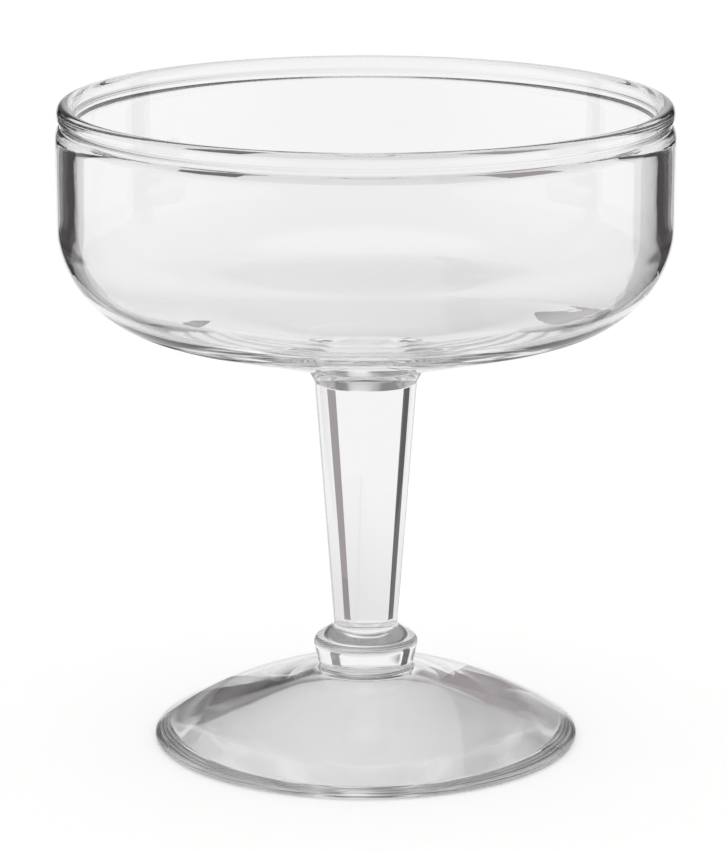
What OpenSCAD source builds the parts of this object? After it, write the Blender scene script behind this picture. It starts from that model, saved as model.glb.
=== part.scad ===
// Margarita glass: one piece of clear pressed glass, a solid of revolution about the z axis.
// A wide straight-sided bowl with a beaded rim stands on a tapered solid stem, a knop and a
// hollow domed foot. The origin is on the axis, on the surface that the foot stands on.

/* [Bowl] */
// Height of the bowl, from the point of its underside to the rim
bowl_h = 53.15; // [46:0.05:65]
// Outer diameter of the bowl's side
bowl_d = 115; // [95:0.1:135]
// Thickness of the bowl's side
wall_t = 3.4; // [3:0.1:5]
// Height on the axis from which the cone of the bowl's underside rises
bowl_z = 69.25; // [60:0.05:80]
// Slope of the bowl's underside, in degrees
under_slope = 15.3; // [12:0.1:20]
// Outer rounding between the side and the underside
corner_r = 20.3; // [12:0.1:26]
// Inner rounding between the side and the floor
corner_in_r = 14; // [8:0.5:22]
// Thickness of the glass between the floor's middle and the cone of the underside
floor_t = 8; // [5:0.5:12]
// Slope of the bowl's floor, in degrees
floor_slope = 10; // [8:0.5:18]
// Rounding of the floor's middle
floor_r = 82; // [40:1:110]

/* [Rim] */
// Height of the bead
bead_h = 3.6; // [3.4:0.1:6]
// Rounding of the bead's outside
bead_r = 1.5; // [1.3:0.05:1.75]
// How far the bead stands back from the bowl's side
bead_set = 0.3; // [0:0.05:0.4]
// Height of the rounded inner edge of the rim
lip_h = 1.7; // [0.8:0.1:2.5]
// Depth of the groove below the bead
groove_depth = 0.95; // [0.4:0.05:1.4]
// Rounding of the groove's bottom
groove_r = 0.75; // [0.5:0.05:1.2]
// Rounding of the shoulder below the groove
shoulder_r = 3; // [1:0.1:4]

/* [Stem] */
// Diameter of the flare where it meets the bowl's underside
flare_d = 22.6; // [20.5:0.1:27]
// Height of the flare
flare_h = 3; // [2.2:0.1:5]
// Rounding between the flare and the bowl's underside
flare_r = 0.5; // [0.3:0.1:1.5]
// Rounding between the flare and the stem
flare_foot_r = 1.2; // [0.5:0.1:3]
// Diameter of the stem just below the flare
stem_top_d = 19.4; // [15:0.1:20]
// Diameter of the neck, at the stem's lower end
neck_d = 12; // [9:0.1:14]
// Rounding between the neck and the knop
neck_r = 1; // [0.5:0.1:3]

/* [Knop] */
// Greatest diameter of the knop
knop_d = 19.8; // [17:0.1:24]
// Height of the knop's greatest diameter
knop_z = 18.2; // [16.5:0.1:22]
// Rounding of the knop
knop_r = 1.7; // [1.5:0.05:3.5]
// Slope of the knop's upper side, in degrees
knop_slope = 32; // [25:1:50]
// Inward slope of the collar below the knop, in degrees from upright
collar_slope = 14; // [8:1:25]
// Rounding between the collar and the foot
collar_r = 0.8; // [0.5:0.1:1.5]

/* [Foot] */
// Diameter of the foot
foot_d = 80.7; // [70:0.1:100]
// Height of the foot's dome where the collar stands on it
foot_h = 13.2; // [10:0.1:15]
// Radius of the dome's curve
dome_r = 83; // [60:1:140]
// Rounding of the foot's outer edge
edge_r = 0.5; // [0.4:0.1:1.2]
// Width of the flat ring that the glass stands on
ring_w = 2.9; // [1:0.1:4]
// Thickness of the foot where the collar stands on it, down to the cone of the hollow
foot_t = 3.8; // [3:0.1:5]
// Rounding of the top of the hollow
hollow_r = 40; // [20:1:60]

/* [Hidden] */

// Largest angle between two points of an arc, and the faces round the glass
arc_step = 7;
$fn = 120;

glass_h = bowl_z + bowl_h;
bowl_r = bowl_d / 2;
inner_r = bowl_r - wall_t;
foot_r = foot_d / 2;

// Point at a distance and an angle from the origin
function polar(r, a) = [r * cos(a), r * sin(a)];

// Points along an arc, both ends included
function arc(c, r, from, to) =
    let (steps = ceil(abs(to - from) / arc_step))
    [for (i = [0:steps]) c + polar(r, from + (to - from) * i / steps)];

// Corner at which the tangents to a circle at two angles cross
function tangent_corner(c, r, a, b) = c + polar(r / cos((a - b) / 2), (a + b) / 2);

// Point at which a line through p at angle a crosses a line through q at angle b
function crossing(p, a, q, b) =
    let (u = polar(1, a), v = polar(1, b), w = q - p)
    p + u * (w.x * v.y - w.y * v.x) / (u.x * v.y - u.y * v.x);

// Arc of radius r that rounds the corner q between the points p and s
function rounded(p, q, s, r) =
    let (
        u = (p - q) / norm(p - q),
        v = (s - q) / norm(s - q),
        half = acos(u * v) / 2,
        c = q + (u + v) / norm(u + v) * r / sin(half),
        turn = sign(u.x * v.y - u.y * v.x) * (180 - 2 * half),
        start = q + u * r / tan(half) - c
    )
    arc(c, r, atan2(start.y, start.x), atan2(start.y, start.x) - turn);

// Inside of the bowl, from the middle of the floor up to the lip
floor_c = [0, bowl_z + floor_t + floor_r];
floor_edge = floor_c + polar(floor_r, floor_slope - 90);
inner_corner = crossing(floor_edge, floor_slope, [inner_r, 0], 90);
lip_c = [bowl_r - bead_set - bead_r, glass_h - lip_h];
inside = concat(
    arc(floor_c, floor_r, -90, floor_slope - 90),
    rounded(floor_edge, inner_corner, [inner_r, glass_h], corner_in_r),
    [for (p = arc([0, 0], 1, 180, 90)) lip_c + [p.x * (lip_c.x - inner_r), p.y * lip_h]]
);

// Bead of the rim, and the groove and shoulder below it, each tangent to the next
bead_top_c = [lip_c.x, glass_h - bead_r];
bead_low_c = [lip_c.x, glass_h - bead_h + bead_r];
groove_x = bowl_r - groove_depth + groove_r;
bead_turn = -acos((groove_x - bead_low_c.x) / (bead_r + groove_r));
groove_c = bead_low_c + polar(bead_r + groove_r, bead_turn);
shoulder_turn = acos((groove_x - bowl_r + shoulder_r) / (groove_r + shoulder_r));
shoulder_c = groove_c - polar(groove_r + shoulder_r, shoulder_turn);
rim = concat(
    arc(bead_top_c, bead_r, 90 - arc_step, 0),
    arc(bead_low_c, bead_r, 0, bead_turn),
    arc(groove_c, groove_r, 180 + bead_turn, 180 + shoulder_turn),
    arc(shoulder_c, shoulder_r, shoulder_turn, 0)
);

// Underside of the bowl, the flare, the stem, the knop and the collar
under_corner = [bowl_r, bowl_z + bowl_r * tan(under_slope)];
flare_top = [flare_d / 2, bowl_z + flare_d / 2 * tan(under_slope)];
stem_top = [stem_top_d / 2, flare_top.y - flare_h];
knop_c = [knop_d / 2 - knop_r, knop_z];
knop_corner = tangent_corner(knop_c, knop_r, 90 - knop_slope, -collar_slope);
neck = crossing([neck_d / 2, knop_z], 90, knop_corner, -knop_slope);

// Dome of the foot: its circle passes through the collar's place and inside the edge's rounding
edge_c = [foot_r - edge_r, edge_r];
dome_top = [knop_d / 2, foot_h];
dome_span = edge_c - dome_top;
dome_along = (norm(dome_span) + (2 * dome_r - edge_r) * edge_r / norm(dome_span)) / 2;
dome_side = sqrt(dome_r * dome_r - dome_along * dome_along);
dome_unit = dome_span / norm(dome_span);
dome_c = dome_top + dome_along * dome_unit + dome_side * [dome_unit.y, -dome_unit.x];
dome_from = atan2(dome_top.y - dome_c.y, dome_top.x - dome_c.x);
dome_to = atan2(edge_c.y - dome_c.y, edge_c.x - dome_c.x);
dome_steps = 9;
dome = [for (i = [0:dome_steps]) dome_c + polar(dome_r, dome_from + (dome_to - dome_from) * i / dome_steps)];
collar_foot = crossing(knop_corner, -90 - collar_slope, dome[0], dome_from - 90);

outside = concat(
    rounded([bowl_r, glass_h], under_corner, flare_top, corner_r),
    rounded(under_corner, flare_top, stem_top, flare_r),
    rounded(flare_top, stem_top, neck, flare_foot_r),
    rounded(stem_top, neck, knop_corner, neck_r),
    rounded(neck, knop_corner, collar_foot, knop_r),
    rounded(knop_corner, collar_foot, dome[1], collar_r),
    [for (i = [1:dome_steps]) dome[i]],
    arc(edge_c, edge_r, dome_to - arc_step, -90)
);

// Hollow under the foot: a cone from the standing ring up, with a rounded top
ring_in = [edge_c.x - ring_w, 0];
hollow_slope = atan((foot_h - foot_t) / (ring_in.x - knop_d / 2));
hollow_c = [0, ring_in.x * tan(hollow_slope) - hollow_r / cos(hollow_slope)];
hollow_steps = 8;
hollow_turn = hollow_slope / hollow_steps;
hollow = concat(
    [ring_in],
    [for (i = [0:hollow_steps]) hollow_c + polar(hollow_r, 90 - hollow_slope + i * hollow_turn)]
);

// The whole section, turned once about the axis
module margarita_glass() {
    color([0.9, 0.93, 0.93, 0.35])
        rotate_extrude()
            polygon(concat(inside, rim, outside, hollow));
}

margarita_glass();
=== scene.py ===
import bpy
import numpy as np
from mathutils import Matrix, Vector


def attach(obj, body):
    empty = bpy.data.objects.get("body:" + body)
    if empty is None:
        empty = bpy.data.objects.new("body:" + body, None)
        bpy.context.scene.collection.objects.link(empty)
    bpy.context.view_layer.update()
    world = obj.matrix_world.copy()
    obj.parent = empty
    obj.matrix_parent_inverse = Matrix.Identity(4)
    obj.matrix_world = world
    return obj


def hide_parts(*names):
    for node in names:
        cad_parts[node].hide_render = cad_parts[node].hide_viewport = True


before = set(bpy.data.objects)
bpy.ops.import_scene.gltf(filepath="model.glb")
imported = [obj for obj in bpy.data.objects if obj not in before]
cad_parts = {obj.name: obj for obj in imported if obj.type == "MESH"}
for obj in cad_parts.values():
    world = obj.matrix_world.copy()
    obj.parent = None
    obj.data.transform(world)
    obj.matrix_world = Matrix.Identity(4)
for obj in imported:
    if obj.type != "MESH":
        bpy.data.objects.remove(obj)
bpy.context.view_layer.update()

# The glass
# One piece of clear soda-lime glass, pressed in an iron mould: the bowl with its beaded rim, the
# solid stem, the knop and the hollow foot are one body turned about one axis. Fire polishing
# left every surface smooth, with the slight unevenness of pressed glass. Sizes in millimetres.
GLASS_H, BOWL_D, WALL_T = 122.4, 115.0, 3.4
UNDER_Z, UNDER_SLOPE, CORNER_R = 69.25, 15.3, 20.3
FLOOR_T, FLOOR_SLOPE, FLOOR_R, CORNER_IN_R = 8.0, 10.0, 82.0, 14.0
BEAD_H, BEAD_R, BEAD_SET, LIP_H = 3.6, 1.5, 0.3, 1.7
GROOVE_DEPTH, GROOVE_R, SHOULDER_R = 0.95, 0.75, 3.0
FLARE_D, FLARE_H, FLARE_R, FLARE_FOOT_R = 22.6, 3.0, 0.5, 1.2
STEM_TOP_D, NECK_D, NECK_R = 19.4, 12.0, 1.0
KNOP_D, KNOP_Z, KNOP_R, KNOP_SLOPE, COLLAR_SLOPE, COLLAR_R = 19.8, 18.2, 1.7, 32.0, 14.0, 0.8
FOOT_D, FOOT_H, DOME_R, EDGE_R, RING_W = 80.7, 13.2, 83.0, 0.5, 2.9
FOOT_T, HOLLOW_R = 3.8, 40.0
GLASS_SIDES, LONGEST_STRETCH = 240, 1.5
METRE = 1000


def polar(r, a):
    """The point at distance r from the origin, a degrees round from the first axis."""
    return r * np.array([np.cos(np.radians(a)), np.sin(np.radians(a))])


def arc(centre, r, a, b, step):
    """Points on a circle from angle a to angle b, at most step degrees apart: at angle t, the
    centre plus r times the cosine and the sine of t."""
    n = max(1, int(np.ceil(abs(b - a) / step)))
    t = np.radians(np.linspace(a, b, n + 1))
    return np.stack([centre[0] + r * np.cos(t), centre[1] + r * np.sin(t)], 1)


def line_cross(p, a, q, b):
    """The point where the line through p at angle a meets the line through q at angle b. With the
    lines' directions u and v, it is p plus u times the cross product of q - p with v over the
    cross product of u with v."""
    u, v, w = polar(1, a), polar(1, b), np.subtract(q, p)
    return p + u * (w[0] * v[1] - w[1] * v[0]) / (u[0] * v[1] - u[1] * v[0])


def rounded(p, q, s, r, step):
    """The arc of radius r that touches the line from p to q and the line from q to s: its centre
    lies on the line that halves the corner at q, at r over the sine of half the corner's angle."""
    p, q, s = (np.asarray(v, float) for v in (p, q, s))
    u, v = (p - q) / np.linalg.norm(p - q), (s - q) / np.linalg.norm(s - q)
    half = np.arccos(u @ v) / 2
    centre = q + (u + v) / np.linalg.norm(u + v) * r / np.sin(half)
    start = q + u * r / np.tan(half) - centre
    a = np.degrees(np.arctan2(start[1], start[0]))
    turn = np.sign(u[0] * v[1] - u[1] * v[0]) * (180 - 2 * np.degrees(half))
    return arc(centre, r, a, a - turn, step)


def glass_section():
    """The closed section, as radius and height: up the inside from the floor's middle to the lip,
    over the bead, groove and shoulder, down the outside, and under the foot to the axis again.
    Its arcs touch the lines and arcs beside them, and only the hollow's lower edge is sharp."""
    bowl_r = BOWL_D / 2
    inner_r = bowl_r - WALL_T

    # The bowl's inside: rounded middle, shallow cone, corner, upright side and the lip's quarter oval
    floor_c = np.array([0, UNDER_Z + FLOOR_T + FLOOR_R])
    floor_edge = floor_c + polar(FLOOR_R, FLOOR_SLOPE - 90)
    corner_in = line_cross(floor_edge, FLOOR_SLOPE, [inner_r, 0], 90)
    lip_c = np.array([bowl_r - BEAD_SET - BEAD_R, GLASS_H - LIP_H])
    quarter = arc([0, 0], 1, 180, 90, step=5)
    inside = [arc(floor_c, FLOOR_R, -90, FLOOR_SLOPE - 90, step=1),
              rounded(floor_edge, corner_in, [inner_r, GLASS_H], CORNER_IN_R, step=2.5),
              lip_c + quarter * [lip_c[0] - inner_r, LIP_H]]

    # The rim: the centres of two arcs that touch stand apart by both radii together, from the bead's
    # lower arc to the groove's and on to the shoulder's, which ends along the bowl's side
    top_c = np.array([lip_c[0], GLASS_H - BEAD_R])
    low_c = np.array([lip_c[0], GLASS_H - BEAD_H + BEAD_R])
    groove_x = bowl_r - GROOVE_DEPTH + GROOVE_R
    bead_turn = -np.degrees(np.arccos((groove_x - low_c[0]) / (BEAD_R + GROOVE_R)))
    groove_c = low_c + polar(BEAD_R + GROOVE_R, bead_turn)
    shoulder_reach = (groove_x - bowl_r + SHOULDER_R) / (GROOVE_R + SHOULDER_R)
    shoulder_turn = np.degrees(np.arccos(shoulder_reach))
    shoulder_c = groove_c - polar(GROOVE_R + SHOULDER_R, shoulder_turn)
    rim = [arc(top_c, BEAD_R, 85, 0, step=5),
           arc(low_c, BEAD_R, 0, bead_turn, step=5),
           arc(groove_c, GROOVE_R, 180 + bead_turn, 180 + shoulder_turn, step=7),
           arc(shoulder_c, SHOULDER_R, shoulder_turn, 0, step=6)]

    # The corners between the bowl's underside, the flare, the stem, the neck, the knop and the collar
    under_rise = np.tan(np.radians(UNDER_SLOPE))
    under_corner = [bowl_r, UNDER_Z + bowl_r * under_rise]
    flare_top = [FLARE_D / 2, UNDER_Z + FLARE_D / 2 * under_rise]
    stem_top = [STEM_TOP_D / 2, flare_top[1] - FLARE_H]
    knop_c = np.array([KNOP_D / 2 - KNOP_R, KNOP_Z])
    knop_half = np.radians(90 - KNOP_SLOPE + COLLAR_SLOPE) / 2
    knop_corner = knop_c + polar(KNOP_R / np.cos(knop_half), (90 - KNOP_SLOPE - COLLAR_SLOPE) / 2)
    neck = line_cross(np.array([NECK_D / 2, KNOP_Z]), 90, knop_corner, -KNOP_SLOPE)

    # The foot's dome: a circle through the collar's place that touches the edge's rounding inside
    edge_c = np.array([FOOT_D / 2 - EDGE_R, EDGE_R])
    dome_top = np.array([KNOP_D / 2, FOOT_H])
    span = edge_c - dome_top
    length = np.linalg.norm(span)
    along = (length + (2 * DOME_R - EDGE_R) * EDGE_R / length) / 2
    across = np.sqrt(DOME_R**2 - along**2)
    dome_c = dome_top + along * span / length + across / length * np.array([span[1], -span[0]])
    dome_from = np.degrees(np.arctan2(*(dome_top - dome_c)[::-1]))
    dome_to = np.degrees(np.arctan2(*(edge_c - dome_c)[::-1]))
    dome = arc(dome_c, DOME_R, dome_from, dome_to, step=1)
    collar_foot = line_cross(knop_corner, -90 - COLLAR_SLOPE, dome_top, dome_from - 90)
    outside = [rounded([bowl_r, GLASS_H], under_corner, flare_top, CORNER_R, step=2.5),
               rounded(under_corner, flare_top, stem_top, FLARE_R, step=6),
               rounded(flare_top, stem_top, neck, FLARE_FOOT_R, step=4),
               rounded(stem_top, neck, knop_corner, NECK_R, step=5),
               rounded(neck, knop_corner, collar_foot, KNOP_R, step=4),
               rounded(knop_corner, collar_foot, dome[1], COLLAR_R, step=8),
               dome[1:],
               arc(edge_c, EDGE_R, dome_to, -90, step=12)[1:]]

    # The hollow: a cone that rises from the standing ring, with a rounded top
    ring_in = np.array([edge_c[0] - RING_W, 0])
    hollow_under = np.array([KNOP_D / 2, FOOT_H - FOOT_T])
    hollow_rise = (hollow_under[1] - ring_in[1]) / (ring_in[0] - hollow_under[0])
    hollow_slope = np.degrees(np.arctan(hollow_rise))
    hollow_c = [0, ring_in[0] * hollow_rise - HOLLOW_R / np.cos(np.radians(hollow_slope))]
    hollow = np.vstack([ring_in, arc(hollow_c, HOLLOW_R, 90 - hollow_slope, 90, step=1.2)])
    return np.vstack(inside + rim + outside + [hollow])


def evenly(path, gap):
    """The path with each straight stretch cut into equal parts, as few as leave none longer than
    gap: the point at a share of a stretch is its start plus that share of the stretch."""
    start, stretch = path[:-1], path[1:] - path[:-1]
    parts = np.maximum(1, np.ceil(np.hypot(*stretch.T) / gap)).astype(int)
    which = np.repeat(np.arange(len(parts)), parts)
    share = (np.arange(parts.sum()) - np.repeat(np.cumsum(parts) - parts, parts)) / parts[which]
    return np.vstack([start[which] + stretch[which] * share[:, None], path[-1:]])


def turned(path, sides):
    """The path turned about the z axis: point j of the path, at side i, lies at its own height and
    radius, at angle 2 pi i over sides. The path's two ends lie on the axis, one point each."""
    turn = np.linspace(0, 2 * np.pi, sides, endpoint=False)[:, None]
    r, z = path[1:-1].T
    ring = np.stack([r * np.cos(turn), r * np.sin(turn), z + 0 * turn], 2)
    verts = np.vstack([ring.reshape(-1, 3), [[0, 0, path[0, 1]], [0, 0, path[-1, 1]]]])
    here = np.arange(sides)[:, None] * len(r) + np.arange(len(r))
    there = np.roll(here, -1, 0)
    quads = np.stack([here[:, :-1], here[:, 1:], there[:, 1:], there[:, :-1]], 2).reshape(-1, 4)
    start_pole, end_pole = (np.full(sides, sides * len(r) + end) for end in (0, 1))
    first = np.stack([start_pole, here[:, 0], there[:, 0]], 1)
    last = np.stack([end_pole, there[:, -1], here[:, -1]], 1)
    return verts, quads.tolist() + first.tolist() + last.tolist()


def mesh_piece(name, verts, faces, material):
    """An object at the origin with the given points, in metres, and smooth faces."""
    mesh = bpy.data.meshes.new(name)
    mesh.from_pydata(verts.tolist(), [], faces)
    mesh.update()
    mesh.polygons.foreach_set("use_smooth", np.ones(len(mesh.polygons), bool))
    mesh.materials.append(material)
    piece = bpy.data.objects.new(name, mesh)
    bpy.context.scene.collection.objects.link(piece)
    return piece


def shader(name):
    """A new material with its node tree and its Principled node."""
    material = bpy.data.materials.new(name)
    material.use_nodes = True
    tree = material.node_tree
    return material, tree, tree.nodes["Principled BSDF"]


def object_place(tree):
    """The place on the piece, in metres, as one vector and as its three parts X, Y and Z."""
    place = tree.nodes.new("ShaderNodeTexCoord").outputs["Object"]
    split = tree.nodes.new("ShaderNodeSeparateXYZ")
    tree.links.new(place, split.inputs[0])
    return place, split.outputs


def eased(tree, value, low, high, at_low, at_high):
    """A number that goes smoothly from at_low to at_high as value goes from low to high. At share t
    of the way it has gone 3 t squared less 2 t cubed of the whole."""
    node = tree.nodes.new("ShaderNodeMapRange")
    node.interpolation_type = "SMOOTHSTEP"
    tree.links.new(value, node.inputs["Value"])
    for socket, number in zip(("From Min", "From Max", "To Min", "To Max"), (low, high, at_low, at_high)):
        node.inputs[socket].default_value = number
    return node.outputs["Result"]


# The glass is all but colourless, and its surface swells by a fiftieth of a millimetre. The standing
# ring is worn a little dull, up to where it leaves the table. Heights and depths are in metres.
GLASS_COLOUR, GLASS_IOR = (0.985, 0.98, 0.982, 1), 1.5
RING_ROUGHNESS, RING_DULL_TO, RING_CLEAR_FROM = 0.1, 0.0001, 0.0004
SWELL_SCALE, SWELL_DETAIL, SWELL_DEPTH = 110, 1.5, 0.00002

clear_glass, tree, surface = shader("clear_pressed_glass")
surface.inputs["Base Color"].default_value = GLASS_COLOUR
surface.inputs["IOR"].default_value = GLASS_IOR
surface.inputs["Transmission Weight"].default_value = 1.0
place, parts = object_place(tree)
dull = eased(tree, parts["Z"], RING_DULL_TO, RING_CLEAR_FROM, RING_ROUGHNESS, 0.0)
tree.links.new(dull, surface.inputs["Roughness"])
swell = tree.nodes.new("ShaderNodeTexNoise")
swell.inputs["Scale"].default_value = SWELL_SCALE
swell.inputs["Detail"].default_value = SWELL_DETAIL
tree.links.new(place, swell.inputs["Vector"])
bump = tree.nodes.new("ShaderNodeBump")
bump.inputs["Strength"].default_value = 1.0
bump.inputs["Distance"].default_value = SWELL_DEPTH
tree.links.new(swell.outputs["Fac"], bump.inputs["Height"])
tree.links.new(bump.outputs["Normal"], surface.inputs["Normal"])

path = evenly(glass_section(), LONGEST_STRETCH)
verts, faces = turned(path, GLASS_SIDES)
glass = mesh_piece("pressed_glass", verts / METRE, faces, clear_glass)
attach(glass, "root")
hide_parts("margarita_glass")

# The table top
# A plain white board on which the glass stands. It is painted matt. For rays that the glass bends
# or mirrors it also gives painted light: a painted glow that is strongest under the foot, a painted
# shade strip and the foot's painted shadow. Each eased line below says from where to where a share
# changes, in metres from the axis, and what it is at either end.
FLOOR_RADIUS, FLOOR_SIDES, FLOOR_DROP = 0.3, 128, 0.0001
FLOOR_COLOUR, DIRECT_LIGHT = (0.76, 0.76, 0.755, 1), 0.3


def math_node(tree, operation, a, b=0.0, clamp=False):
    """A Math node of the tree, with sockets or numbers as its two inputs."""
    node = tree.nodes.new("ShaderNodeMath")
    node.operation, node.use_clamp = operation, clamp
    for socket, value in zip(node.inputs, (a, b)):
        if isinstance(value, (int, float)):
            socket.default_value = value
        else:
            tree.links.new(value, socket)
    return node.outputs[0]


def plus(tree, a, b):
    """a and b together."""
    return math_node(tree, "ADD", a, b)


def less(tree, a, b):
    """a less b."""
    return math_node(tree, "SUBTRACT", a, b)


def times(tree, a, b):
    """a times b."""
    return math_node(tree, "MULTIPLY", a, b)


floor_paint, tree, surface = shader("white_table_top")
surface.inputs["Base Color"].default_value = FLOOR_COLOUR
surface.inputs["Roughness"].default_value = 1.0
surface.inputs["Specular IOR Level"].default_value = 0.0
surface.inputs["Emission Color"].default_value = (1, 1, 1, 1)
place, parts = object_place(tree)
x, y = parts["X"], parts["Y"]
length = tree.nodes.new("ShaderNodeVectorMath")
length.operation = "LENGTH"
tree.links.new(place, length.inputs[0])
reach = length.outputs["Value"]

# The painted glow is strongest near the axis and at the left, and a little stronger again far out
painted_glow_tilt = eased(tree, x, -0.03, 0.035, 1.15, 0.85)
painted_near_glow = times(tree, eased(tree, reach, 0.035, 0.08, 0.37, 0.07), painted_glow_tilt)
painted_glow = plus(tree, painted_near_glow, eased(tree, reach, 0.08, 0.3, 0.0, 0.12))

# A painted shade strip runs front to back, a little right of the axis
painted_shade_strip = times(tree, eased(tree, x, 0.0175, 0.0182, 0.0, 0.28), eased(tree, x, 0.0235, 0.027, 1.0, 0.0))
outside_painted_strip = less(tree, 1.0, painted_shade_strip)

# The foot's painted shadow lies in a band under its edge, at the back, and is weaker at the right
rear = eased(tree, y, -0.002, 0.006, 0.0, 1.0)
band = times(tree, eased(tree, reach, 0.0332, 0.0345, 0.0, 1.0), eased(tree, reach, 0.042, 0.046, 1.0, 0.0))
foot_shade = times(tree, band, times(tree, rear, eased(tree, x, 0.014, 0.02, 0.85, 0.2)))
outside_shade = less(tree, 1.0, foot_shade)

# All that painted glow and shade is for rays that the glass bends or mirrors. The camera's own rays get one
# even light
ray = tree.nodes.new("ShaderNodeLightPath")
by_glass = math_node(tree, "ADD", ray.outputs["Is Transmission Ray"], ray.outputs["Is Glossy Ray"], True)
through = times(tree, by_glass, times(tree, times(tree, painted_glow, outside_shade), outside_painted_strip))
direct = times(tree, ray.outputs["Is Camera Ray"], DIRECT_LIGHT)
tree.links.new(math_node(tree, "MAXIMUM", through, direct), surface.inputs["Emission Strength"])

turn = np.linspace(0, 2 * np.pi, FLOOR_SIDES, endpoint=False)
disc = np.stack([np.cos(turn), np.sin(turn), 0 * turn], 1) * FLOOR_RADIUS - [0, 0, FLOOR_DROP]
floor = mesh_piece("table_top", disc, [list(range(FLOOR_SIDES))], floor_paint)

# The studio
# A white table that runs on as far as the eye sees, under a grey room: what the glass bends
# downwards shows white, and what it bends upwards shows grey. A direction is written as its parts
# to the right, away from the camera and up, each from -1 to 1, and a strength of 1 is white.
TABLE_LIGHT, ROOM_LIGHT, DARKEST_LIGHT, SHEET_LIGHT = 0.95, 0.45, 0.14, 0.5
DUSK_DEPTH, RIGHT_SHADE_DEPTH = 0.27, 0.3


def once_mirrored(tree):
    """1 for a ray that has been mirrored on its way, and 0 for any other: the number of times that
    it has been mirrored, or 1 where that is less."""
    ray = tree.nodes.new("ShaderNodeLightPath")
    return math_node(tree, "MINIMUM", ray.outputs["Glossy Depth"], 1.0)


scene = bpy.context.scene
world = bpy.data.worlds.new("room")
scene.world = world
world.use_nodes = True
tree = world.node_tree
towards = tree.nodes.new("ShaderNodeTexCoord")
split = tree.nodes.new("ShaderNodeSeparateXYZ")
tree.links.new(towards.outputs["Generated"], split.inputs[0])
right, away, up = split.outputs
sideways = math_node(tree, "ABSOLUTE", right)

# The table is brighter far out at the sides. What is mirrored from the near side is darker
near_side = times(tree, once_mirrored(tree), eased(tree, away, -1.0, -0.6, 0.25, 0.0))
table = plus(tree, less(tree, TABLE_LIGHT, near_side), eased(tree, sideways, 0.75, 1.0, 0.0, 0.12))

# A pale sheet hangs in the middle of the far side, and reaches higher at its right
ahead = eased(tree, away, 0.0, 0.3, 0.0, 1.0)
sheet_left = times(tree, ahead, eased(tree, right, -0.24, -0.13, 1.0, 0.0))
sheet_top = eased(tree, right, -0.12, 0.05, 0.12, 0.3)
below_top = eased(tree, less(tree, up, sheet_top), 0.0, 0.16, 1.0, 0.0)
middle = times(tree, ahead, eased(tree, sideways, 0.1, 0.34, 1.0, 0.0))
sheet = times(tree, times(tree, middle, below_top), less(tree, 1.0, sheet_left))

# The room is darker at the left of the far side, in a strip at its right, and higher up
dusk = times(tree, ahead, eased(tree, right, -0.25, 0.1, 1.0, 0.0))
right_strip = times(tree, eased(tree, right, 0.2, 0.25, 0.0, 1.0), eased(tree, right, 0.36, 0.46, 1.0, 0.0))
right_shade = times(tree, ahead, right_strip)
grey = less(tree, less(tree, ROOM_LIGHT, times(tree, dusk, DUSK_DEPTH)),
            times(tree, right_shade, RIGHT_SHADE_DEPTH))
high = eased(tree, up, 0.42, 0.7, 0.0, 0.2)
dim = math_node(tree, "MAXIMUM", less(tree, grey, high), DARKEST_LIGHT)

# A lamp hangs straight above. The table's far edge is level, and lies higher out at the sides
overhead = eased(tree, up, 0.86, 0.95, 0.0, 0.55)
upper = plus(tree, plus(tree, dim, overhead), times(tree, sheet, SHEET_LIGHT))
edge = eased(tree, sideways, 0.5, 0.62, 0.0, 0.11)
above = eased(tree, less(tree, up, edge), -0.03, 0.02, 0.0, 1.0)
bent = plus(tree, times(tree, upper, above), times(tree, table, less(tree, 1.0, above)))

# The camera itself and the table's paint see a plain white room
ray = tree.nodes.new("ShaderNodeLightPath")
plain = math_node(tree, "ADD", ray.outputs["Is Camera Ray"], ray.outputs["Diffuse Depth"], True)
strength = plus(tree, plain, times(tree, bent, less(tree, 1.0, plain)))
tree.links.new(strength, tree.nodes["Background"].inputs["Strength"])
tree.nodes["Background"].inputs["Color"].default_value = (1, 1, 1, 1)

# The cards
# Dark cards that stand behind the glass and beside it and give it its dark lines. Each is a flat
# sheet, painted grey with a touch of pink, that shows only in the glass. Corners in millimetres.
CARD_TINT = (1.0, 0.92, 0.95, 1)


def card(name, low, high, shade, mirrored_only=False):
    """A flat card with its lower edge along low and its upper edge along high, each edge as two
    points. Only rays that the glass has bent or mirrored see it, and it shades nothing. Where
    mirrored_only is true, it is clear to a ray until the glass has mirrored it."""
    paint, tree, surface = shader(name + "_paint")
    surface.inputs["Base Color"].default_value = (0, 0, 0, 1)
    surface.inputs["Specular IOR Level"].default_value = 0.0
    surface.inputs["Emission Color"].default_value = CARD_TINT
    surface.inputs["Emission Strength"].default_value = shade
    if mirrored_only:
        tree.links.new(once_mirrored(tree), surface.inputs["Alpha"])
    corners = np.array([low[0], low[1], high[1], high[0]], float)
    piece = mesh_piece(name, corners / METRE, [[0, 1, 2, 3]], paint)
    piece.visible_camera = piece.visible_diffuse = piece.visible_shadow = False


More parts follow.
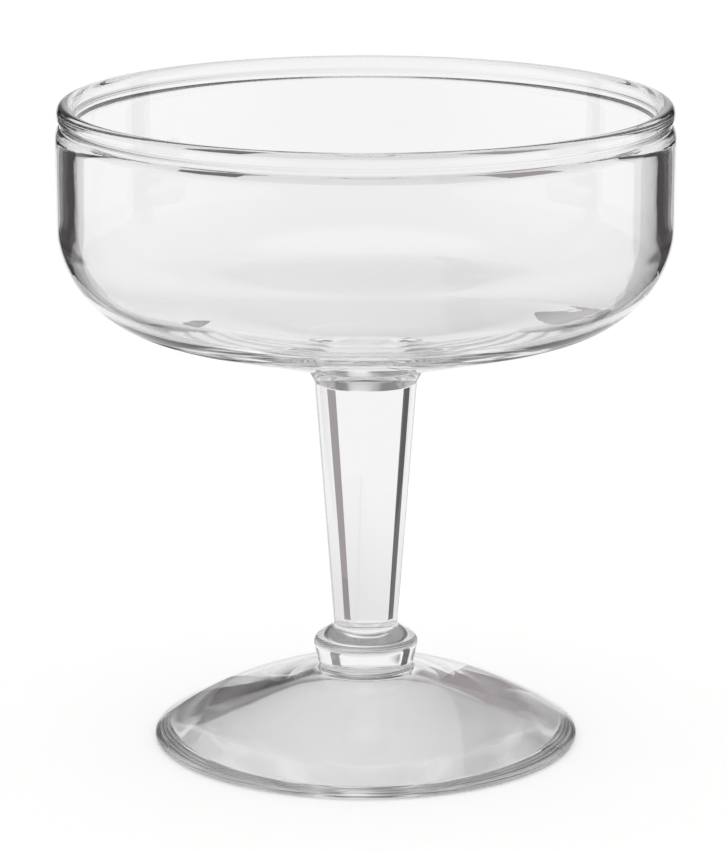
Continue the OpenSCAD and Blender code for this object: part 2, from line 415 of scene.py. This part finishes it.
# Two cards make the stem's dark lines and one the knop's, seen straight through the glass
card("low_card_left", [[-30, 53, 0], [-49.5, 53, 0]], [[-30, 53, 64], [-47, 53, 64]], 0.1)
card("low_card_right", [[28, 80, 15], [44, 80, 15]], [[33.5, 80, 60], [53.5, 80, 60]], 0.33)
card("knop_card_right", [[23.5, 80, -6], [43, 80, -6]], [[28, 80, 15], [44, 80, 15]], 0.28)

# On each side, two cards make the bowl's edge and lower corner dark, and one stands beside it
for side, hand, wide in (("left", -1, 165), ("right", 1, 230)):
    card("tall_card_" + side, [[hand * 83, 80, 62], [hand * wide, 80, 25]],
         [[hand * 83, 80, 135], [hand * wide, 80, 135]], 0.07, mirrored_only=True)
    card("skirt_card_" + side, [[hand * 130, 81, 0], [hand * wide, 81, 0]],
         [[hand * 92, 81, 58], [hand * wide, 81, 30]], 0.07, mirrored_only=True)
    card("wing_card_" + side, [[hand * 90, 4, 8], [hand * 90, 24, 90]],
         [[hand * 90, 36, 20], [hand * 90, 72, 85]], 0.06, mirrored_only=True)

# The camera
# A long lens a little above the rim, at the distance that the rim's and the foot's ovals give. The
# lens and the film are in millimetres, the shifts in widths of the picture, the rest in metres.
TARGET = Vector((0, 0, 0.060))
DISTANCE, RAISED = 0.7761, np.radians(13.81)
LENS, FILM_WIDTH, SHIFT_X, SHIFT_Y = 174.26, 36.0, -0.00265, 0.00381
NEAREST, FARTHEST = 0.01, 20

eye = bpy.data.cameras.new("camera")
eye.lens, eye.sensor_width = LENS, FILM_WIDTH
eye.shift_x, eye.shift_y = SHIFT_X, SHIFT_Y
eye.clip_start, eye.clip_end = NEAREST, FARTHEST
camera = bpy.data.objects.new("camera", eye)
scene.collection.objects.link(camera)
camera.location = TARGET + DISTANCE * Vector((0, -np.cos(RAISED), np.sin(RAISED)))
camera.rotation_euler = (TARGET - camera.location).to_track_quat("-Z", "Y").to_euler()
scene.camera = camera

# Light passes through both walls of the bowl and turns many times inside the stem and the foot
scene.view_settings.view_transform = "Standard"
scene.cycles.caustics_refractive = scene.cycles.caustics_reflective = True
scene.cycles.max_bounces = 32
scene.cycles.transmission_bounces = 32
scene.cycles.glossy_bounces = 16
scene.cycles.diffuse_bounces = 2
